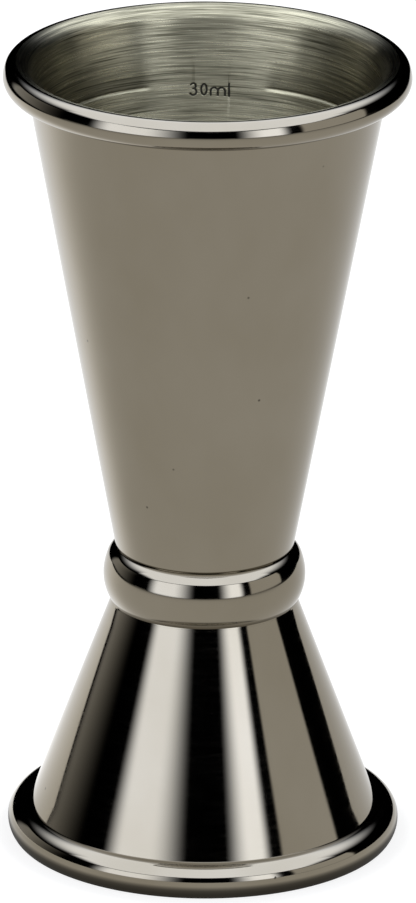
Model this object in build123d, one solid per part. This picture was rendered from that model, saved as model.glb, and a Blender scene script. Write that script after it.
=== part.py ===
from build123d import *

import os
from dataclasses import dataclass
from math import cos, radians, sin, sqrt, tan

# A double bar jigger: two spun cups back to back, a collar over the joint. Millimetres.
# The origin is the centre of the plane it stands on, and +Z is the common axis of the cups.

# --- driving dimensions -------------------------------------------------------------------------
HEIGHT = 92.0                  # rim to rim
JOINT_HEIGHT = 33.0            # plane where the two floors meet
SHEET = 0.7                    # thickness of the spun sheet

UPPER_RIM_DIAMETER = 45.7
UPPER_FLOOR_DIAMETER = 19.54   # outside of the wall, run on to the joint plane
UPPER_TAPER = 10.5             # degrees between the wall and the axis
LOWER_RIM_DIAMETER = 44.4
LOWER_FLOOR_DIAMETER = 17.5
LOWER_TAPER = 20.5

FLOOR_CORNER = 2.0             # inside radius between a floor and its wall

COLLAR_DIAMETER = 22.88
COLLAR_HEIGHT = 31.3           # level of the collar's widest circle
COLLAR_BENDS = (               # radius of each bend, and degrees that its face looks up at each end
    (1.9, 64.0, 21.0),
    (7.4, 21.0, 10.0),
    (5.4, 10.0, -36.0),
)
BRAZE_DEPTH = 0.9              # how far the braze runs in behind each edge of the collar
NECK_RADIUS = 8.2              # inner limit of the braze in the groove between the cups

FULL_MARK_DEPTH = 8.8          # graduation line below the upper rim
MARK_WIDTH = 0.7
MARK_CUT = 0.15
MARK_GAP_ANGLE = 41.0          # degrees of wall that the line leaves free for its label
LABEL_HEIGHT = 1.4             # tall strokes of the label, which gives the volume as 30 ml
LABEL_STROKE = 0.22            # width of the engraver's line
LABEL_CUT = 0.15
LABEL_DROP = 0.54              # middle of the label below the middle of the line

NUGGET_COUNT = 3
NUGGET_RADIUS = 1.5
NUGGET_HALF_HEIGHT = 0.45
NUGGET_CIRCLE = 5.0            # radius that the spot welds are spaced on
DIMPLE_DEPTH = 0.12            # mark that the electrode leaves inside each cup

MOUTH_FLAT = 0.35              # width of the lapped ring on each crest


@dataclass
class Cup:
    """One spun cup: heights are above the joint plane, and the mouth is up."""
    depth: float               # joint plane to the lapped face of the rim
    floor_radius: float
    taper: float
    rim_radius: float
    roll: float                # radius where the wall turns out to the crest
    curl: tuple                # (radius, degrees) of each bend beyond the crest; one radius is None

    def outer_radius(self, height):
        """Outside of the conical wall."""
        return self.floor_radius + height * tan(radians(self.taper))

    def inner_radius(self, height):
        return self.outer_radius(height) - SHEET / cos(radians(self.taper))

    def crest_height(self):
        """Top of the rim before it is lapped to a flat ring."""
        return self.depth + self.roll - sqrt(self.roll**2 - (MOUTH_FLAT / 2) ** 2)

    def wall_end(self):
        """Height where the straight wall ends and the roll to the crest begins."""
        return self.crest_height() - self.roll * (1.0 - sin(radians(self.taper)))

    def crest_radius(self):
        return self.inner_radius(self.wall_end()) + self.roll * cos(radians(self.taper))

    def moves(self):
        """Runs and bends of the sheet's inner face, from the floor's centre to the end of the curl."""
        lean = radians(self.taper)
        up_turn = 90.0 - self.taper
        wall_start = SHEET + FLOOR_CORNER * (1.0 - sin(lean))
        return [
            ("run", self.inner_radius(wall_start) - FLOOR_CORNER * cos(lean)),
            ("bend", FLOOR_CORNER, up_turn),
            ("run", (self.wall_end() - wall_start) / cos(lean)),
            ("bend", self.roll, -up_turn),
            *self.curl_moves(),
        ]

    def curl_moves(self):
        """Bends beyond the crest; the one without a radius brings the widest circle to the rim radius."""
        reach = self.rim_radius - self.crest_radius()
        turned_by = 0.0
        for radius, turn in self.curl:
            gain = sin(radians(min(turned_by + turn, 90.0))) - sin(radians(min(turned_by, 90.0)))
            turned_by += turn
            if radius is None:
                free_gain = gain
            else:
                reach -= radius * gain
        return [("bend", radius or reach / free_gain, -turn) for radius, turn in self.curl]


UPPER = Cup(
    depth=HEIGHT - JOINT_HEIGHT,
    floor_radius=UPPER_FLOOR_DIAMETER / 2,
    taper=UPPER_TAPER,
    rim_radius=UPPER_RIM_DIAMETER / 2,
    roll=1.86,
    curl=((None, 69.0), (4.0, 11.0), (1.6, 45.0), (1.9, 55.0), (1.9, 27.0)),
)
LOWER = Cup(
    depth=JOINT_HEIGHT,
    floor_radius=LOWER_FLOOR_DIAMETER / 2,
    taper=LOWER_TAPER,
    rim_radius=LOWER_RIM_DIAMETER / 2,
    roll=1.0,
    curl=((None, 55.0), (2.5, 45.0), (2.35, 11.0), (1.9, 69.0), (1.6, 20.0)),
)


# --- bent sheet -----------------------------------------------------------------------------------
def path_edges(start, heading, moves, offset=0.0):
    """Edges of a line through runs and bends; an offset keeps it parallel, to the line's right."""
    angle = radians(heading)
    point = Vector(*start) + Vector(sin(angle), -cos(angle)) * offset
    edges = []
    for kind, size, *turn in moves:
        direction = Vector(cos(angle), sin(angle))
        if kind == "run":
            edge = Line(point, point + direction * size)
        else:
            side = 1.0 if turn[0] > 0 else -1.0
            edge = JernArc(point, direction, size + side * offset, turn[0])
            angle += radians(turn[0])
        edges.append(edge)
        point = edge @ 1
    return edges


def sheet_face(start, heading, moves, thickness=SHEET):
    """Section of a bent sheet whose far face lies to the right of the path."""
    near = path_edges(start, heading, moves)
    far = path_edges(start, heading, moves, thickness)
    ends = [
        Line(near[0] @ 0, far[0] @ 0),
        Line(near[-1] @ 1, far[-1] @ 1),
    ]
    return make_face(near + far + ends)


def turned(section):
    """Solid of revolution of a section drawn with radius along X and height along Y."""
    return revolve(Plane.XZ * section, axis=Axis.Z, revolution_arc=360)


# --- cups -----------------------------------------------------------------------------------------
def cup_solid(cup):
    """A cup with its mouth up and the outside of its floor on the XY plane, its crest lapped flat."""
    shell = turned(sheet_face((0, SHEET), 0, cup.moves()))
    above = Cylinder(cup.rim_radius + SHEET, SHEET, align=(Align.CENTER, Align.CENTER, Align.MIN))
    return shell - Pos(0, 0, cup.depth) * above


def lens(radius, half_height):
    """Round lens on the XY plane, the common part of two balls."""
    ball = (radius**2 + half_height**2) / (2 * half_height)
    return Pos(0, 0, half_height - ball) * Sphere(ball) & Pos(0, 0, ball - half_height) * Sphere(ball)


def nuggets():
    """Spot welds across the joint plane, thickest at the middle."""
    nugget = lens(NUGGET_RADIUS, NUGGET_HALF_HEIGHT)
    return [place * nugget for place in PolarLocations(NUGGET_CIRCLE, NUGGET_COUNT)]


def electrode_dimples():
    """Shallow round hollows that the electrode leaves in the inside of a floor, over each weld."""
    dimple = Pos(0, 0, SHEET) * lens(NUGGET_RADIUS, DIMPLE_DEPTH)
    return [place * dimple for place in PolarLocations(NUGGET_CIRCLE, NUGGET_COUNT)]


def welded(shell):
    """A cup shell with room for the weld metal below its floor and electrode marks above it."""
    for tool in nuggets() + electrode_dimples():
        shell -= tool
    return shell


def graduation_line():
    """Groove round the inside of the wall, broken behind the label, at the full mark."""
    height = UPPER.depth - FULL_MARK_DEPTH
    wall = UPPER.inner_radius(height)
    groove = Pos(wall, height) * Rot(0, 0, -UPPER.taper) * Rectangle(2 * MARK_CUT, MARK_WIDTH)
    start = 90.0 + MARK_GAP_ANGLE / 2
    section = Plane.XZ * groove
    return Rot(0, 0, start) * revolve(section, axis=Axis.Z, revolution_arc=360.0 - MARK_GAP_ANGLE)


def stroke(edge):
    """Track of a round cutter along an edge."""
    return make_face(edge.offset_2d(LABEL_STROKE / 2).edges())


def digit_three():
    """Two open bowls, the lower one larger, centred on the line between them."""
    upper = 0.21 * LABEL_HEIGHT
    lower = 0.26 * LABEL_HEIGHT
    waist = 0.49 * LABEL_HEIGHT - 2 * upper
    return stroke(CenterArc((0, waist + upper), upper, -90, 240)) + stroke(
        CenterArc((0, waist - lower), lower, 90, -240)
    )


def digit_zero():
    width, height = 0.22 * LABEL_HEIGHT, 0.43 * LABEL_HEIGHT
    half = LABEL_STROKE / 2
    return Ellipse(width + half, height + half) - Ellipse(width - half, height - half)


def letter_m():
    """Three legs under two arches."""
    arch = 0.29 * LABEL_HEIGHT
    foot = -0.46 * LABEL_HEIGHT
    spring = -0.14 * LABEL_HEIGHT
    legs = [stroke(Line((x, foot), (x, spring))) for x in (-2 * arch, 0, 2 * arch)]
    arches = [stroke(CenterArc((x, spring), arch, 0, 180)) for x in (-arch, arch)]
    return legs[0] + legs[1:] + arches


def letter_l():
    return stroke(Line((0, -LABEL_HEIGHT / 2), (0, LABEL_HEIGHT / 2)))


def label_outline():
    """The volume, 30 ml, spaced about the middle of the label."""
    spaced = {-1.16: digit_three(), -0.29: digit_zero(), 0.83: letter_m(), 1.74: letter_l()}
    return [Pos(centre * LABEL_HEIGHT, 0) * glyph for centre, glyph in spaced.items()]


def graduation_label():
    """The label cut into the far wall, to be read from inside the cup."""
    height = UPPER.depth - FULL_MARK_DEPTH - LABEL_DROP
    wall = UPPER.inner_radius(height)
    facing = Plane((0, 0, height), x_dir=(1, 0, 0), z_dir=(0, -1, 0))
    skin_section = Pos(wall, height) * Rot(0, 0, -UPPER.taper) * Rectangle(2 * LABEL_CUT, 2 * LABEL_HEIGHT)
    skin = Rot(0, 0, 90.0 - MARK_GAP_ANGLE / 2) * revolve(
        Plane.XZ * skin_section, axis=Axis.Z, revolution_arc=MARK_GAP_ANGLE
    )
    return [extrude(facing * glyph, amount=-wall - SHEET) & skin for glyph in label_outline()]


def upper_cup():
    shell = welded(cup_solid(UPPER))
    for tool in [graduation_line(), *graduation_label()]:
        shell -= tool
    return Pos(0, 0, JOINT_HEIGHT) * shell


def lower_cup():
    shell = welded(cup_solid(LOWER))
    return Pos(0, 0, JOINT_HEIGHT) * Rot(180, 0, 0) * shell


# --- collar ---------------------------------------------------------------------------------------
def collar_path():
    """Start, heading and bends of the band's outer face, from its upper edge to its lower one."""
    radius, height = COLLAR_DIAMETER / 2, COLLAR_HEIGHT
    for bend, upper, lower in reversed(COLLAR_BENDS):
        top, bottom = radians(upper), radians(max(lower, 0.0))
        radius += bend * (cos(top) - cos(bottom))
        height += bend * (sin(top) - sin(bottom))
    moves = [("bend", bend, lower - upper) for bend, upper, lower in COLLAR_BENDS]
    return (radius, height), COLLAR_BENDS[0][1] - 90.0, moves


def cup_bulk(cup):
    """Section of a cup's outside, filled in, with its mouth up."""
    skin = path_edges((0, SHEET), 0, cup.moves()[:3], SHEET)
    rim = skin[-1] @ 1
    return make_face(skin + [Line(rim, Vector(0, rim.Y)), Line(Vector(0, rim.Y), skin[0] @ 0)])


def clear_of_cups(section):
    """A section less the space of the two cups."""
    upper = Pos(0, JOINT_HEIGHT) * cup_bulk(UPPER)
    lower = Pos(0, JOINT_HEIGHT) * mirror(cup_bulk(LOWER), about=Plane.XZ)
    return section - upper - lower


def collar_section():
    return clear_of_cups(sheet_face(*collar_path()))


def neck_collar():
    """Band rolled over the joint; its lower edge bears on the lower cone."""
    return turned(collar_section())


def upper_collar_braze():
    """Braze metal in the groove at the joint, level with the foot of the collar's upper edge."""
    start, heading, moves = collar_path()
    edge = path_edges(start, heading, moves, SHEET)[0] @ 0
    top = (edge.Y + start[1]) / 2
    bottom = JOINT_HEIGHT - BRAZE_DEPTH / 2
    width = start[0] - NECK_RADIUS
    groove = Pos(NECK_RADIUS + width / 2, (top + bottom) / 2) * Rectangle(width, top - bottom)
    return turned(clear_of_cups(groove - sheet_face(start, heading, moves)))


def lower_collar_braze():
    """Wedge of braze metal between the collar and the lower cone, in from the lower edge."""
    start, heading, moves = collar_path()
    far = path_edges(start, heading, moves, SHEET)
    hollow = make_face(far + [Line(far[-1] @ 1, far[0] @ 0)])
    low = (far[-1] @ 1).Y
    band = Pos(COLLAR_DIAMETER / 4, low + BRAZE_DEPTH / 2) * Rectangle(COLLAR_DIAMETER, BRAZE_DEPTH)
    return turned(clear_of_cups(hollow & band))


# --- joint ----------------------------------------------------------------------------------------
def floor_weld_nuggets():
    return Compound(children=[Pos(0, 0, JOINT_HEIGHT) * nugget for nugget in nuggets()])


PIECES = {
    "upper_cup": upper_cup,
    "lower_cup": lower_cup,
    "neck_collar": neck_collar,
    "upper_collar_braze": upper_collar_braze,
    "lower_collar_braze": lower_collar_braze,
    "floor_weld_nuggets": floor_weld_nuggets,
}

os.makedirs("parts", exist_ok=True)
for node, make in PIECES.items():
    export_step(make(), f"parts/{node}.step")
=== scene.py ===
from math import ceil, copysign, cos, pi, radians, sin, sqrt, tan

import bmesh
import bpy
import numpy as np
from mathutils import Matrix, Vector


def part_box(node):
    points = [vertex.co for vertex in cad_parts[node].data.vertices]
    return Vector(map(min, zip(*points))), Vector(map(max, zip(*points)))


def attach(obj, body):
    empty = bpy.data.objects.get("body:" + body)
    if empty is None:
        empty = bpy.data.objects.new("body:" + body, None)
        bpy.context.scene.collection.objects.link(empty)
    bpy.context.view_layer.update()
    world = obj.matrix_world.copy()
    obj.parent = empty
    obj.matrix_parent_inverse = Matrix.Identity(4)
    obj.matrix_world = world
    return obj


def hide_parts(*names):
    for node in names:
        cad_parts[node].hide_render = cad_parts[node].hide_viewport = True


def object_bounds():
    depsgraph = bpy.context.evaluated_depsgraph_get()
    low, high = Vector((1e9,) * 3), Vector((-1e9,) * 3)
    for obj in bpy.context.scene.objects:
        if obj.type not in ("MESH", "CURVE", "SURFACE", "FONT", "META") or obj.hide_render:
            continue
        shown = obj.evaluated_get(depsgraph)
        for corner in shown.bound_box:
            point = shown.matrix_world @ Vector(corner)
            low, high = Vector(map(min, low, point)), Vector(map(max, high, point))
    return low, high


# Polished double bar jigger on a pale studio floor. Profiles are in millimetres, the scene in metres.
# Azimuths are degrees round +Z, from +Y (the wall that carries the label) towards +X.

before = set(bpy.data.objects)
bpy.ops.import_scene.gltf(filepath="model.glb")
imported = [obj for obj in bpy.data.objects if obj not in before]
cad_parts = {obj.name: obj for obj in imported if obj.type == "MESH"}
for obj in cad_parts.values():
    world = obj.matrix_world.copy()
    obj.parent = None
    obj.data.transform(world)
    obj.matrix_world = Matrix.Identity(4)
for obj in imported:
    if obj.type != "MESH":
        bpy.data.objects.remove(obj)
cad_low, cad_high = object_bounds()

MM = 0.001


def corners(node):
    """Lowest and highest corner of a CAD node in millimetres."""
    low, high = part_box(node)
    return low / MM, high / MM


UPPER_LOW, UPPER_HIGH = corners("upper_cup")
LOWER_HIGH = corners("lower_cup")[1]
COLLAR_HIGH = corners("neck_collar")[1]

# --- driving dimensions of the sheet metal --------------------------------------------------------
HEIGHT = UPPER_HIGH.z
JOINT_HEIGHT = UPPER_LOW.z
SHEET = 0.7
FLOOR_CORNER = 2.0
MOUTH_FLAT = 0.35
COLLAR_WIDEST = JOINT_HEIGHT - 1.7
COLLAR_BENDS = (               # radius of each bend, and degrees that its face looks up at each end
    (1.9, 64.0, 21.0),
    (7.4, 21.0, 10.0),
    (5.4, 10.0, -36.0),
)

MARK_HEIGHT = HEIGHT - 8.8
MARK_WIDTH = 0.7
MARK_DEPTH = 0.15
MARK_GAP = 41.0                # degrees of wall left free for the label
MARK_END = 3.0                 # degrees over which each end of the line fades out
LABEL_LEVEL = MARK_HEIGHT - 0.54
LABEL_HEIGHT = 1.4
LABEL_STROKE = 0.26
LABEL_DEPTH = 0.12
LABEL_SPREAD = 8.6             # degrees either side of the label's middle that its strokes reach
LABEL_BAND = 1.2 * LABEL_HEIGHT
NUGGET_COUNT = 3
NUGGET_CIRCLE = 5.0
DIMPLE_RADIUS = 1.5
DIMPLE_DEPTH = 0.12

COARSE_TURN = 10.0             # degrees of bend between rows that never show
FINE_TURN = 4.0
COLUMN = 1.5                   # degrees between columns
LABEL_COLUMN = 0.12
LABEL_ROW = 0.045              # millimetres between rows across the label
FLOOR_ROW = 0.32
WALL_ROW = 6.0
ARC_POINTS = 25                # points along each curved stroke of the label
LEVEL_SLACK = 0.01             # radians that a row may lean down and still count as the inside
SHARP_ANGLE = 40.0
MERGE_DISTANCE = 1e-9

INSIDE, OUTSIDE, ENGRAVED = range(3)


# --- profiles -------------------------------------------------------------------------------------
class Cup:
    """One spun cup: heights are above the joint plane, and the mouth is up.

    The curl is the bends beyond the crest, each a radius and the degrees that it turns.
    """

    def __init__(self, depth, floor_radius, taper, rim_radius, roll, curl):
        self.depth = depth
        self.floor_radius = floor_radius
        self.taper = taper
        self.rim_radius = rim_radius
        self.roll = roll
        self.curl = curl
        crest = depth + roll - sqrt(roll**2 - (MOUTH_FLAT / 2) ** 2)
        self.wall_start = SHEET + FLOOR_CORNER * (1 - sin(radians(taper)))
        self.wall_end = crest - roll * (1 - sin(radians(taper)))

    def inner_radius(self, height):
        lean = radians(self.taper)
        return self.floor_radius + height * tan(lean) - SHEET / cos(lean)

    def moves(self, turn_step, wall_rows):
        """Runs and bends of the inner face from the floor's centre, each with its row spacing."""
        up_turn = 90.0 - self.taper
        floor = self.inner_radius(self.wall_start) - FLOOR_CORNER * cos(radians(self.taper))
        return [
            ("run", floor, FLOOR_ROW),
            ("bend", FLOOR_CORNER, up_turn, turn_step),
            *wall_rows,
            ("bend", self.roll, -up_turn, turn_step),
            *self.curl_moves(turn_step),
        ]

    def curl_moves(self, turn_step):
        """Bends beyond the crest; the one without a radius brings the widest circle to the rim radius."""
        reach = self.rim_radius - self.inner_radius(self.wall_end) - self.roll * cos(radians(self.taper))
        turned_by = 0.0
        for radius, turn in self.curl:
            gain = sin(radians(min(turned_by + turn, 90.0))) - sin(radians(min(turned_by, 90.0)))
            turned_by += turn
            if radius is None:
                free_gain = gain
            else:
                reach -= radius * gain
        return [("bend", radius or reach / free_gain, -turn, turn_step) for radius, turn in self.curl]

    def wall(self, band=None):
        """The straight wall in one run, or with a finely divided band round one height."""
        slope = cos(radians(self.taper))
        whole = (self.wall_end - self.wall_start) / slope
        if band is None:
            return [("run", whole, WALL_ROW)]
        below = (band - self.wall_start) / slope - LABEL_BAND / 2
        above = whole - below - LABEL_BAND
        return [("run", below, WALL_ROW), ("run", LABEL_BAND, LABEL_ROW), ("run", above, WALL_ROW)]


UPPER = Cup(
    depth=HEIGHT - JOINT_HEIGHT,
    floor_radius=9.77,
    taper=10.5,
    rim_radius=UPPER_HIGH.x,
    roll=1.86,
    curl=((None, 69.0), (4.0, 11.0), (1.6, 45.0), (1.9, 55.0), (1.9, 27.0)),
)
LOWER = Cup(
    depth=JOINT_HEIGHT,
    floor_radius=8.75,
    taper=20.5,
    rim_radius=LOWER_HIGH.x,
    roll=1.0,
    curl=((None, 55.0), (2.5, 45.0), (2.35, 11.0), (1.9, 69.0), (1.6, 20.0)),
)


def trace(start, heading, moves):
    """Stations (radius, height, heading in radians) along runs and bends."""
    radius, height = start
    angle = radians(heading)
    stations = [(radius, height, angle)]
    for kind, size, *rest in moves:
        if kind == "run":
            count = ceil(size / rest[0])
            for step in range(1, count + 1):
                gone = size * step / count
                stations.append((radius + gone * cos(angle), height + gone * sin(angle), angle))
        else:
            turn, spacing = rest
            side = copysign(1.0, turn)
            centre = (radius - side * size * sin(angle), height + side * size * cos(angle))
            count = ceil(abs(turn) / spacing)
            start_angle = angle
            for step in range(1, count + 1):
                angle = start_angle + radians(turn) * step / count
                out, down = side * size * sin(angle), side * size * cos(angle)
                stations.append((centre[0] + out, centre[1] - down, angle))
        radius, height, angle = stations[-1]
    return np.array(stations)


def far_face(stations, thickness=SHEET):
    """The other face of the sheet, to the right of the path."""
    radius, height, angle = stations.T
    return np.column_stack([radius + thickness * np.sin(angle), height - thickness * np.cos(angle), angle])


def cup_section(cup, band=None):
    """Near face out to the end of the curl, then the far face back to the axis, with row finishes."""
    near = trace((0, SHEET), 0, cup.moves(FINE_TURN, cup.wall(band)))
    far = far_face(trace((0, SHEET), 0, cup.moves(COARSE_TURN, cup.wall())))[::-1]
    stations = np.vstack([near, far])
    stations[:, 1] = np.minimum(stations[:, 1], cup.depth)
    rows = np.arange(len(stations))
    brushed = (rows < len(near)) & (stations[:, 2] > -LEVEL_SLACK) & (stations[:, 1] < cup.depth)
    return stations, np.where(brushed, INSIDE, OUTSIDE), len(near)


# --- engraving --------------------------------------------------------------------------------------
def arc_points(centre, across, up, start, sweep):
    """Points along part of an ellipse, from a start in degrees through a sweep."""
    angles = np.radians(np.linspace(start, start + sweep, ARC_POINTS))
    return np.column_stack([centre[0] + across * np.cos(angles), centre[1] + up * np.sin(angles)])


def label_strokes():
    """Centre lines of the volume mark, 30 ml, about the middle; numbers are shares of its height."""
    size = LABEL_HEIGHT
    upper, lower, arch = 0.21 * size, 0.26 * size, 0.29 * size
    waist, foot, spring = 0.49 * size - 2 * upper, -0.46 * size, -0.14 * size
    three = [
        arc_points((0, waist + upper), upper, upper, -90, 240),
        arc_points((0, waist - lower), lower, lower, 90, -240),
    ]
    zero = [arc_points((0, 0), 0.22 * size, 0.43 * size, 0, 360)]
    legs = [np.array([(x, foot), (x, spring)]) for x in (-2 * arch, 0, 2 * arch)]
    arches = [arc_points((x, spring), arch, arch, 0, 180) for x in (-arch, arch)]
    stem = [np.array([(0, -size / 2), (0, size / 2)])]
    spaced = {-1.16: three, -0.29: zero, 0.83: legs + arches, 1.74: stem}
    return [stroke + (offset * size, 0) for offset, glyph in spaced.items() for stroke in glyph]


def distance_to(points, stroke):
    """Least distance from each point to a broken line."""
    best = np.full(points.shape[:-1], np.inf)
    for start, end in zip(stroke[:-1], stroke[1:]):
        reach = end - start
        along = np.clip((points - start) @ reach / (reach @ reach), 0, 1)
        best = np.minimum(best, np.linalg.norm(points - start - along[..., None] * reach, axis=-1))
    return best


def smooth(value):
    """0 below 0, 1 above 1, with soft ends."""
    value = np.clip(value, 0, 1)
    return value * value * (3 - 2 * value)


def label_depth(azimuth, radius, height):
    """Depth of the engraver's cut, a rounded channel along each stroke."""
    near = (np.abs(height - LABEL_LEVEL) < LABEL_HEIGHT) & (np.abs(azimuth) < LABEL_SPREAD)
    depth = np.zeros(azimuth.shape)
    points = np.stack([radius * np.sin(np.radians(azimuth)), height - LABEL_LEVEL], axis=-1)[near]
    gap = np.min([distance_to(points, stroke) for stroke in label_strokes()], axis=0)
    depth[near] = LABEL_DEPTH * smooth((LABEL_STROKE / 2 - gap) / (LABEL_STROKE / 4))
    return depth


def mark_depth(azimuth, height):
    """Depth of the line pressed round the wall, fading out either side of the label."""
    across = np.cos(np.clip((height - MARK_HEIGHT) / MARK_WIDTH, -0.5, 0.5) * pi) ** 2
    return MARK_DEPTH * across * smooth((np.abs(azimuth) - MARK_GAP / 2) / MARK_END)


def dimple_depth(azimuth, radius):
    """Depth of the electrode marks on a floor."""
    ball = (DIMPLE_RADIUS**2 + DIMPLE_DEPTH**2) / (2 * DIMPLE_DEPTH)
    x, y = radius * np.sin(np.radians(azimuth)), radius * np.cos(np.radians(azimuth))
    depth = np.zeros(azimuth.shape)
    for number in range(NUGGET_COUNT):
        turn = radians(90.0 - number * 360.0 / NUGGET_COUNT)
        gap = np.hypot(x - NUGGET_CIRCLE * sin(turn), y - NUGGET_CIRCLE * cos(turn))
        cap = np.sqrt(np.maximum(ball**2 - gap**2, 0)) - ball + DIMPLE_DEPTH
        depth = np.maximum(depth, cap)
    return depth


# --- turned meshes ----------------------------------------------------------------------------------
def even_columns():
    return np.arange(0.0, 360.0, COLUMN)


def label_columns():
    """Columns round the upper cup, close together behind the label."""
    fine = np.linspace(-LABEL_SPREAD, LABEL_SPREAD, round(2 * LABEL_SPREAD / LABEL_COLUMN))
    rest = np.linspace(LABEL_SPREAD, 360.0 - LABEL_SPREAD, round((360.0 - 2 * LABEL_SPREAD) / COLUMN))
    return np.concatenate([fine, rest[1:-1]])


def turned(name, points, materials, finishes):
    """Mesh from rings of points (row, column, xyz) that close round the axis; merged at the axis."""
    rows, columns = points.shape[:2]
    index = np.arange(rows * columns).reshape(rows, columns)
    beside = np.roll(index, -1, axis=1)
    below = np.roll(index, -1, axis=0)
    across = np.roll(below, -1, axis=1)
    faces = np.stack([index, beside, across, below], axis=-1).reshape(-1, 4)
    mesh = bpy.data.meshes.new(name)
    mesh.from_pydata((points.reshape(-1, 3) * MM).tolist(), [], faces.tolist())
    mesh.polygons.foreach_set("material_index", finishes.reshape(-1))
    for material in materials:
        mesh.materials.append(material)
    work = bmesh.new()
    work.from_mesh(mesh)
    bmesh.ops.remove_doubles(work, verts=work.verts, dist=MERGE_DISTANCE)
    work.to_mesh(mesh)
    work.free()
    mesh.shade_smooth()
    mesh.set_sharp_from_angle(angle=radians(SHARP_ANGLE))
    piece = bpy.data.objects.new(name, mesh)
    bpy.context.scene.collection.objects.link(piece)
    return piece


def ring_points(stations, columns, sink):
    """Rings of points round the axis, sunk into the metal by a depth at each point."""
    radius, height, angle = (stations[:, i, None] for i in range(3))
    turn = np.radians(columns)[None, :]
    out = radius + sink * np.sin(angle)
    level = height - sink * np.cos(angle) + 0 * turn
    return np.stack([out * np.sin(turn), out * np.cos(turn), level], axis=-1)


def cup_points(cup, columns, depth_at, band=None):
    """Rings of points of a cup with its mouth up and its floor on the XY plane, and a finish for each."""
    stations, finish, near_rows = cup_section(cup, band)
    azimuth = np.where(columns > 180, columns - 360, columns)[None, :] + np.zeros((len(stations), 1))
    radius, height = (stations[:, i, None] + np.zeros((1, len(columns))) for i in range(2))
    sink, cut = depth_at(azimuth, radius, height)
    sink[near_rows:] = 0
    cut[near_rows:] = 0
    points = ring_points(stations, columns, sink)
    finishes = finish[:, None] + np.zeros((1, len(columns)), int)
    pair_cut = cut + np.roll(cut, -1, axis=1)
    face_cut = (pair_cut + np.roll(pair_cut, -1, axis=0)) / 4
    finishes[face_cut > LABEL_DEPTH / 2] = ENGRAVED
    return points, finishes


def floor_only(azimuth, radius, height):
    """Electrode marks, on the flat of the floor."""
    flat = height <= SHEET + DIMPLE_DEPTH
    depth = np.where(flat, dimple_depth(azimuth, radius), 0)
    return depth, np.zeros(azimuth.shape)


def marked_wall(azimuth, radius, height):
    """Electrode marks, the graduation line and its label."""
    level = height + JOINT_HEIGHT
    cut = label_depth(azimuth, radius, level)
    floor_marks = floor_only(azimuth, radius, height)[0]
    return floor_marks + cut + mark_depth(azimuth, level), cut


def make_upper_cup(materials):
    points, finishes = cup_points(UPPER, label_columns(), marked_wall, LABEL_LEVEL - JOINT_HEIGHT)
    points[..., 2] += JOINT_HEIGHT
    return turned("upper_cup_metal", points, materials, finishes)


def make_lower_cup(materials):
    """The lower cup hangs upside down from the joint plane, turned over about X."""
    points, finishes = cup_points(LOWER, even_columns(), floor_only)
    points[..., 2] = JOINT_HEIGHT - points[..., 2]
    points[..., 1] *= -1
    return turned("lower_cup_metal", points, materials, finishes)


# --- collar -----------------------------------------------------------------------------------------
def make_collar(materials):
    """Band rolled over the joint, tight over its top and easy down to the lower cone that it bears on."""
    radius, height = COLLAR_HIGH.x, COLLAR_WIDEST
    for bend, upper, lower in reversed(COLLAR_BENDS):
        top, bottom = radians(upper), radians(max(lower, 0.0))
        radius += bend * (cos(top) - cos(bottom))
        height += bend * (sin(top) - sin(bottom))
    moves = [("bend", bend, lower - upper, FINE_TURN / 2) for bend, upper, lower in COLLAR_BENDS]
    near = trace((radius, height), COLLAR_BENDS[0][1] - 90.0, moves)
    stations = np.vstack([near, far_face(near)[::-1]])
    cone = LOWER.floor_radius + (JOINT_HEIGHT - stations[:, 1]) * tan(radians(LOWER.taper))
    beside_cone = stations[:, 1] < JOINT_HEIGHT
    stations[:, 0] = np.where(beside_cone, np.maximum(stations[:, 0], cone), stations[:, 0])
    columns = even_columns()
    points = ring_points(stations, columns, np.zeros((len(stations), 1)))
    finishes = np.zeros((len(stations), len(columns)), int)
    return turned("neck_collar_metal", points, materials, finishes)


# --- materials --------------------------------------------------------------------------------------
GUNMETAL = (0.205, 0.180, 0.135)
GUNMETAL_LIGHT = (0.225, 0.200, 0.155)
BRUSHED_DARK = (0.050, 0.046, 0.028)
BRUSHED_LIGHT = (0.430, 0.395, 0.270)
SPECK = (0.030, 0.026, 0.020)
BLACK_CUT = (0.020, 0.018, 0.014)
SOOT = (0.060, 0.055, 0.042)
BRAZE_DARK = (0.330, 0.250, 0.120)
BRAZE_LIGHT = (0.560, 0.450, 0.250)
WELD_DARK = (0.120, 0.110, 0.105)
WELD_LIGHT = (0.350, 0.330, 0.300)
SPECK_SPACING = 5 * MM
SPECK_SIZE = 0.24 * MM
BRAZE_GRAIN = 0.6 * MM
WELD_GRAIN = 0.4 * MM
ENGRAVED_GRAIN = 1 / 9000
ACROSS_TANGENT = 0.25          # turns: the brush lines spread light across themselves


def new_node(tree, kind, settings=None, **inputs):
    """A node with its settings and its inputs, each a value or another node's socket."""
    made = tree.nodes.new(kind)
    for key, value in (settings or {}).items():
        setattr(made, key, value)
    for key, value in inputs.items():
        socket = made.inputs[key.replace("_", " ")]
        if isinstance(value, bpy.types.NodeSocket):
            tree.links.new(value, socket)
        else:
            socket.default_value = value
    return made


def new_material(name):
    material = bpy.data.materials.new(name)
    material.use_nodes = True
    tree = material.node_tree
    shader = tree.nodes["Principled BSDF"]
    shader.inputs["Metallic"].default_value = 1.0
    return material, tree, shader


def computed(tree, operation, *values):
    """Result of a maths node on sockets and numbers."""
    made = new_node(tree, "ShaderNodeMath", {"operation": operation})
    for socket, value in zip(made.inputs, values):
        if isinstance(value, bpy.types.NodeSocket):
            tree.links.new(value, socket)
        else:
            socket.default_value = value
    return made.outputs["Value"]


def scaled_place(tree, scale):
    """Position on the object, in metres, times a scale (waves per metre) along each axis."""
    place = new_node(tree, "ShaderNodeTexCoord").outputs["Object"]
    return new_node(tree, "ShaderNodeMapping", Vector=place, Scale=scale).outputs["Vector"]


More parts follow.
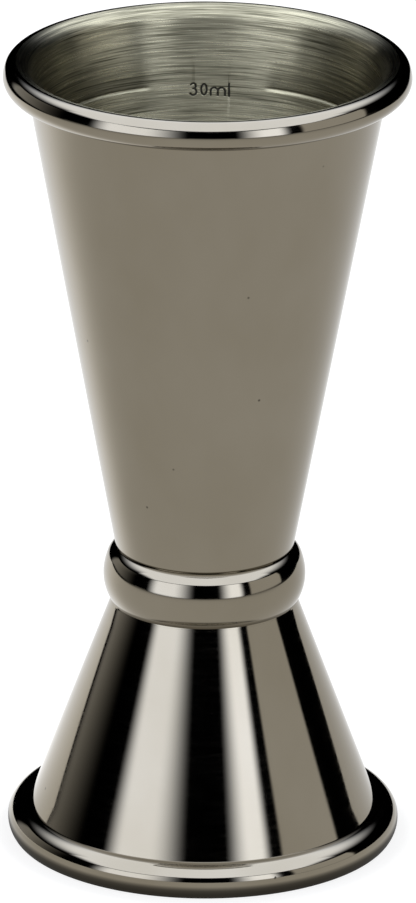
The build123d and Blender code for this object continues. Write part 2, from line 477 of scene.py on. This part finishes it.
def lathe_place(tree, around, along):
    """Position whose last axis runs up walls and out across floors, so that noise makes turned lines."""
    place = new_node(tree, "ShaderNodeTexCoord").outputs["Object"]
    parts = new_node(tree, "ShaderNodeSeparateXYZ", Vector=place)
    flat = new_node(tree, "ShaderNodeCombineXYZ", X=parts.outputs["X"], Y=parts.outputs["Y"])
    radius = new_node(tree, "ShaderNodeVectorMath", {"operation": "LENGTH"}, Vector=flat.outputs["Vector"])
    total = computed(tree, "ADD", parts.outputs["Z"], radius.outputs["Value"])
    turned_place = new_node(
        tree, "ShaderNodeCombineXYZ", X=parts.outputs["X"], Y=parts.outputs["Y"], Z=total
    )
    scale = (around, around, along)
    scaled = new_node(tree, "ShaderNodeMapping", Vector=turned_place.outputs["Vector"], Scale=scale)
    return scaled.outputs["Vector"]


def noise(tree, place, detail=2.0, roughness=0.5):
    made = new_node(tree, "ShaderNodeTexNoise", Vector=place, Scale=1.0, Detail=detail, Roughness=roughness)
    return made.outputs["Fac"]


def ramp(tree, factor, stops):
    """Colour ramp from (position, colour or grey) stops."""
    made = new_node(tree, "ShaderNodeValToRGB", Fac=factor)
    band = made.color_ramp
    while len(band.elements) < len(stops):
        band.elements.new(0.5)
    for element, (position, tone) in zip(band.elements, stops):
        element.position = position
        element.color = (*tone, 1.0) if isinstance(tone, tuple) else (tone, tone, tone, 1.0)
    return made.outputs["Color"]


def mixed(tree, factor, first, second):
    """Colour between two, each a socket or a colour."""
    made = new_node(tree, "ShaderNodeMix", {"data_type": "RGBA"})
    tree.links.new(factor, made.inputs["Factor"])
    for socket, value in ((made.inputs[6], first), (made.inputs[7], second)):
        if isinstance(value, bpy.types.NodeSocket):
            tree.links.new(value, socket)
        else:
            socket.default_value = (*value, 1.0)
    return made.outputs[2]


def bumped(tree, height, distance, under=None):
    inputs = {"Height": height, "Distance": distance, "Strength": 1.0}
    if under is not None:
        inputs["Normal"] = under
    return new_node(tree, "ShaderNodeBump", **inputs).outputs["Normal"]


def specks(tree, spacing, size):
    """Mask of small round spots about a spacing apart, in metres."""
    place = scaled_place(tree, (1 / spacing,) * 3)
    cells = new_node(tree, "ShaderNodeTexVoronoi", Vector=place, Scale=1.0)
    reach = size / spacing / 2
    return ramp(tree, cells.outputs["Distance"], [(0.0, 1.0), (reach, 0.6), (reach * 1.6, 0.0)])


def polished_metal():
    """Black-nickel plate: a dark warm mirror with faint polishing lines, clouding and a few specks."""
    material, tree, shader = new_material("polished_gunmetal")
    cloud = noise(tree, scaled_place(tree, (90.0, 90.0, 60.0)), detail=3.0)
    tint = ramp(tree, cloud, [(0.3, GUNMETAL), (0.7, GUNMETAL_LIGHT)])
    spots = specks(tree, SPECK_SPACING, SPECK_SIZE)
    tree.links.new(mixed(tree, spots, tint, SPECK), shader.inputs["Base Color"])
    haze = noise(tree, lathe_place(tree, around=300.0, along=4000.0), detail=3.0, roughness=0.6)
    tree.links.new(ramp(tree, haze, [(0.3, 0.035), (0.75, 0.085)]), shader.inputs["Roughness"])
    lines = noise(tree, lathe_place(tree, around=120.0, along=2500.0), detail=2.0)
    sway = noise(tree, scaled_place(tree, (70.0, 70.0, 45.0)), detail=1.0)
    normal = bumped(tree, lines, distance=0.00012 * MM)
    normal = bumped(tree, sway, distance=0.006 * MM, under=normal)
    normal = bumped(tree, spots, distance=0.01 * MM, under=normal)
    tree.links.new(normal, shader.inputs["Normal"])
    return material


def brushed_metal():
    """The unpolished inside: turned brush lines of uneven length, depth and tone."""
    material, tree, shader = new_material("brushed_gunmetal")
    hair = noise(tree, lathe_place(tree, around=170.0, along=7000.0), detail=4.0, roughness=0.6)
    strand = noise(tree, lathe_place(tree, around=100.0, along=2600.0), detail=3.0, roughness=0.55)
    patch = noise(tree, scaled_place(tree, (130.0, 130.0, 160.0)), detail=3.0)
    line = computed(tree, "MULTIPLY", computed(tree, "ADD", hair, strand), 0.5)
    tone = ramp(tree, line, [(0.36, BRUSHED_DARK), (0.62, BRUSHED_LIGHT)])
    worn = ramp(tree, patch, [(0.35, 0.0), (0.8, 0.35)])
    tree.links.new(mixed(tree, worn, tone, BRUSHED_DARK), shader.inputs["Base Color"])
    tree.links.new(ramp(tree, line, [(0.3, 0.34), (0.7, 0.24)]), shader.inputs["Roughness"])
    shader.inputs["Anisotropic"].default_value = 1.0
    shader.inputs["Anisotropic Rotation"].default_value = ACROSS_TANGENT
    around = new_node(tree, "ShaderNodeTangent", {"direction_type": "RADIAL", "axis": "Z"})
    tree.links.new(around.outputs["Tangent"], shader.inputs["Tangent"])
    tree.links.new(bumped(tree, line, distance=0.02 * MM), shader.inputs["Normal"])
    return material


def engraved_metal():
    """Floor of the engraver's cut, dark and matt."""
    material, tree, shader = new_material("engraved_mark")
    grain = noise(tree, scaled_place(tree, (1 / ENGRAVED_GRAIN,) * 3), detail=2.0)
    tree.links.new(ramp(tree, grain, [(0.3, BLACK_CUT), (0.7, SOOT)]), shader.inputs["Base Color"])
    tree.links.new(ramp(tree, grain, [(0.3, 0.45), (0.7, 0.65)]), shader.inputs["Roughness"])
    return material


def cast_metal(name, dark, light, size):
    """Metal that was melted in place: blotchy, with a rippled skin."""
    material, tree, shader = new_material(name)
    blotch = noise(tree, scaled_place(tree, (1 / size,) * 3), detail=4.0, roughness=0.6)
    tree.links.new(ramp(tree, blotch, [(0.3, dark), (0.7, light)]), shader.inputs["Base Color"])
    tree.links.new(ramp(tree, blotch, [(0.3, 0.5), (0.7, 0.3)]), shader.inputs["Roughness"])
    tree.links.new(bumped(tree, blotch, distance=0.05 * MM), shader.inputs["Normal"])
    return material


# --- the object -------------------------------------------------------------------------------------
polished = polished_metal()
brushed = brushed_metal()
engraved = engraved_metal()

stand_ins = [
    (make_upper_cup([brushed, polished, engraved]), "upper_cup", "upper_cup"),
    (make_lower_cup([brushed, polished, engraved]), "lower_cup", "lower_cup"),
    (make_collar([polished]), "neck_collar", "neck_collar"),
]
for piece, node, slot in stand_ins:
    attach(piece, "root")
    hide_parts(node)

braze = cast_metal("braze_metal", BRAZE_DARK, BRAZE_LIGHT, BRAZE_GRAIN)
weld = cast_metal("weld_metal", WELD_DARK, WELD_LIGHT, WELD_GRAIN)
cast_finishes = {
    "upper_collar_braze": braze,
    "lower_collar_braze": braze,
    "floor_weld_nuggets": weld,
}
for node, material in cast_finishes.items():
    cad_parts[node].data.materials.clear()
    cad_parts[node].data.materials.append(material)

# --- studio -----------------------------------------------------------------------------------------
FLOOR_SIZE = 4.0
FLOOR_GLOW = 0.86
FLOOR_TONE = 0.25
SOFTBOX_TINT = (0.86, 0.93, 1.10)
CARD_TINT = (1.0, 1.0, 1.0)
RIG_RADIUS = 0.9
RING_COLUMNS = 145
SCRIM_ROWS = 97
PANEL_COLUMNS = 65
PANEL_ROWS = 33
PANEL_RISE = (-4.0, 22.5)      # degrees up that every panel spans, and over which its ends fade
PANEL_RISE_EDGES = (3.0, 1.0)
BOUNCE_FAR = 0.1
BOUNCE_HALF = 0.6              # metres in front where the floor's light has fallen half way
BOUNCE_FALL = 3                # power of the distance by which it falls
BOUNCE_BACK = 0.55             # metres behind where it ends, and over which it fades
BOUNCE_BACK_EDGE = 0.1
BOUNCE_SIDES = 1.5             # how sharply the front gives way to the back at the sides
BOUNCE_BUMP = -132.0           # degrees: the brighter part of the floor, behind to the left
BOUNCE_BUMP_WIDTH = 24.0
BOUNCE_BOOST = 0.45
BOUNCE_SHADE = 0.12            # painted contact shadow in the floor's glow: what is left of it under the rim, and how far out it takes to recover
BOUNCE_CONTACT = 0.004
BOUNCE_LIFT = 0.0002           # metres above the floor
BOUNCE_RINGS = (               # from, to and how many, closer together near the object
    (0.0, 0.04, 41),
    (0.05, 0.8, 76),
    (0.85, FLOOR_SIZE / 2, 24),
)
object_centre = (cad_low + cad_high) / 2


def stage_object(name, mesh, material):
    made = bpy.data.objects.new(name, mesh)
    mesh.materials.append(material)
    bpy.context.scene.collection.objects.link(made)
    return made


def glowing(name, tint):
    """Emission whose strength is stored on the surface, so that a panel can fade at its edges."""
    material = bpy.data.materials.new(name)
    material.use_nodes = True
    tree = material.node_tree
    tree.nodes.clear()
    glow = new_node(tree, "ShaderNodeAttribute", {"attribute_name": "glow"}).outputs["Fac"]
    light = new_node(tree, "ShaderNodeEmission", Color=(*tint, 1.0), Strength=glow)
    output = new_node(tree, "ShaderNodeOutputMaterial")
    tree.links.new(light.outputs["Emission"], output.inputs["Surface"])
    return material


def fade(values, low, high, low_edge, high_edge):
    """1 between two limits, falling to 0 over an edge inside each."""
    return smooth((values - low) / low_edge) * smooth((high - values) / high_edge)


def light_sheet(name, place, strength, material):
    """Grid of points that glow by a strength each, unseen by the camera."""
    index = np.arange(place.shape[0] * place.shape[1]).reshape(place.shape[:2])
    four = [index[:-1, :-1], index[1:, :-1], index[1:, 1:], index[:-1, 1:]]
    faces = np.stack(four, axis=-1).reshape(-1, 4)
    mesh = bpy.data.meshes.new(name)
    mesh.from_pydata(place.reshape(-1, 3).tolist(), [], faces.tolist())
    mesh.attributes.new("glow", "FLOAT", "POINT").data.foreach_set("value", strength.reshape(-1))
    made = stage_object(name, mesh, material)
    made.visible_camera = False
    made.visible_shadow = False
    return made


def rig_piece(name, columns, rows, glow_at, material):
    """Sheet of light on a sphere round the object, facing it. Degrees from the camera's side, and up."""
    turn, rise = np.meshgrid(np.radians(columns), np.radians(rows))
    place = np.stack([np.sin(turn) * np.cos(rise), -np.cos(turn) * np.cos(rise), np.sin(rise)], axis=-1)
    return light_sheet(name, place * RIG_RADIUS + np.array(object_centre), glow_at(turn, rise), material)


def panel(name, across, edges, glow, material):
    """Softbox or card between two directions, fading over an edge at its left and at its right."""

    def glow_at(turn, rise):
        upright = fade(np.degrees(rise), *PANEL_RISE, *PANEL_RISE_EDGES)
        return glow * fade(np.degrees(turn), *across, *edges) * upright

    columns = np.linspace(*across, PANEL_COLUMNS)
    return rig_piece(name, columns, np.linspace(*PANEL_RISE, PANEL_ROWS), glow_at, material)


def overhead(name, half_width, side_edge, front, back, glow, material):
    """Broad scrim over the object; front and back are the degrees up where it ends, and its edge there."""
    front_rise, front_edge = front
    back_rise, back_edge = back

    def glow_at(turn, rise):
        sideways = np.degrees(np.arcsin(np.abs(np.sin(turn)) * np.cos(rise)))
        ahead = smooth((np.degrees(rise) - front_rise) / front_edge)
        astern = smooth((np.degrees(rise) - back_rise) / back_edge)
        return glow * smooth((half_width - sideways) / side_edge) * np.where(np.cos(turn) > 0, ahead, astern)

    columns = np.linspace(-180, 180, RING_COLUMNS)
    rows = np.linspace(min(front_rise, back_rise), 90, SCRIM_ROWS)
    return rig_piece(name, columns, rows, glow_at, material)


def bounce_floor(material):
    """The light that the floor throws up: full near the object, dim far in front, dark far behind, with a
    painted contact shadow under the rim.
    """
    spread = np.concatenate([np.linspace(*ring) for ring in BOUNCE_RINGS])
    distance, turn = np.meshgrid(spread, np.radians(np.linspace(-180, 180, RING_COLUMNS)))
    place = np.stack([distance * np.sin(turn), -distance * np.cos(turn), 0 * turn + BOUNCE_LIFT], axis=-1)
    front = BOUNCE_FAR + (1 - BOUNCE_FAR) / (1 + (distance / BOUNCE_HALF) ** BOUNCE_FALL)
    behind = smooth((BOUNCE_BACK - distance) / BOUNCE_BACK_EDGE)
    share = smooth(0.5 + np.cos(turn) * BOUNCE_SIDES)
    bump = np.exp(-(((np.degrees(turn) - BOUNCE_BUMP) / BOUNCE_BUMP_WIDTH) ** 2))
    # painted contact shadow: the glow is darkened under the rim and recovers just outside it
    shade = BOUNCE_SHADE + (1 - BOUNCE_SHADE) * smooth((distance - LOWER_HIGH.x * MM) / BOUNCE_CONTACT)
    glow = (front * share + behind * (1 - share)) * (1 + BOUNCE_BOOST * bump) * shade
    return light_sheet("bounce_floor", place, glow, material)


def make_floor():
    """Pale floor that glows a little, so that shadows stay faint; seen from above only."""
    square = [(-1, -1, 0), (1, -1, 0), (1, 1, 0), (-1, 1, 0)]
    mesh = bpy.data.meshes.new("floor")
    mesh.from_pydata([Vector(corner) * FLOOR_SIZE / 2 for corner in square], [], [(0, 1, 2, 3)])
    material = bpy.data.materials.new("pale_floor")
    material.use_nodes = True
    tree = material.node_tree
    shader = tree.nodes["Principled BSDF"]
    shader.inputs["Base Color"].default_value = (FLOOR_TONE, FLOOR_TONE, FLOOR_TONE, 1.0)
    shader.inputs["Roughness"].default_value = 1.0
    shader.inputs["Specular IOR Level"].default_value = 0.0
    shader.inputs["Emission Color"].default_value = (1.0, 1.0, 1.0, 1.0)
    shader.inputs["Emission Strength"].default_value = FLOOR_GLOW
    below = new_node(tree, "ShaderNodeNewGeometry").outputs["Backfacing"]
    clear = new_node(tree, "ShaderNodeBsdfTransparent").outputs["BSDF"]
    choice = new_node(tree, "ShaderNodeMixShader", Fac=below)
    tree.links.new(shader.outputs["BSDF"], choice.inputs[1])
    tree.links.new(clear, choice.inputs[2])
    tree.links.new(choice.outputs["Shader"], tree.nodes["Material Output"].inputs["Surface"])
    made = stage_object("floor", mesh, material)
    made.visible_glossy = False
    return made


def make_world():
    """White surroundings that the camera sees and the metal doesn't."""
    world = bpy.data.worlds.new("studio_white")
    world.use_nodes = True
    world.node_tree.nodes["Background"].inputs["Color"].default_value = (1.0, 1.0, 1.0, 1.0)
    world.cycles_visibility.glossy = False
    world.cycles_visibility.diffuse = False
    bpy.context.scene.world = world


softbox = glowing("softbox_cloth", SOFTBOX_TINT)
card = glowing("white_card", CARD_TINT)
make_floor()
make_world()
bounce_floor(card)
overhead(
    "overhead_scrim",
    half_width=64,
    side_edge=12,
    front=(23.5, 1.5),
    back=(26, 24),
    glow=3.3,
    material=softbox,
)
panel("left_softbox", across=(-68, -10), edges=(14, 26), glow=3.6, material=softbox)
panel("right_softbox", across=(15, 47), edges=(17, 8), glow=4.1, material=softbox)
panel("right_card", across=(52, 98), edges=(3, 3), glow=1.0, material=card)
panel("left_card", across=(-140, -84), edges=(8, 46), glow=0.55, material=card)

# --- camera -----------------------------------------------------------------------------------------
CAMERA_DISTANCE = 1.321
CAMERA_PITCH = 19.95
CAMERA_ROLL = 0.37
CAMERA_LENS = 467.2            # millimetres, as is the sensor
CAMERA_SENSOR = 36.0
CAMERA_SHIFT = 0.0031
CLIP_RATIO = 20                # clipping is this many times nearer and farther than the object
AIM = 0.497                    # share of the object's height


def make_camera():
    pitch = radians(CAMERA_PITCH)
    aim = Vector((0, 0, cad_high.z * AIM))
    back = Vector((0, -cos(pitch), sin(pitch)))
    data = bpy.data.cameras.new("studio_camera")
    data.lens = CAMERA_LENS
    data.sensor_width = CAMERA_SENSOR
    data.shift_x = CAMERA_SHIFT
    data.clip_start = CAMERA_DISTANCE / CLIP_RATIO
    data.clip_end = CAMERA_DISTANCE * CLIP_RATIO
    camera = bpy.data.objects.new("studio_camera", data)
    turn = Matrix.Rotation(pi / 2 - pitch, 4, "X") @ Matrix.Rotation(radians(CAMERA_ROLL), 4, "Z")
    camera.matrix_world = Matrix.Translation(aim + back * CAMERA_DISTANCE) @ turn
    bpy.context.scene.collection.objects.link(camera)
    bpy.context.scene.camera = camera


make_camera()
bpy.context.scene.view_settings.view_transform = "Standard"
bpy.context.scene.view_settings.look = "None"
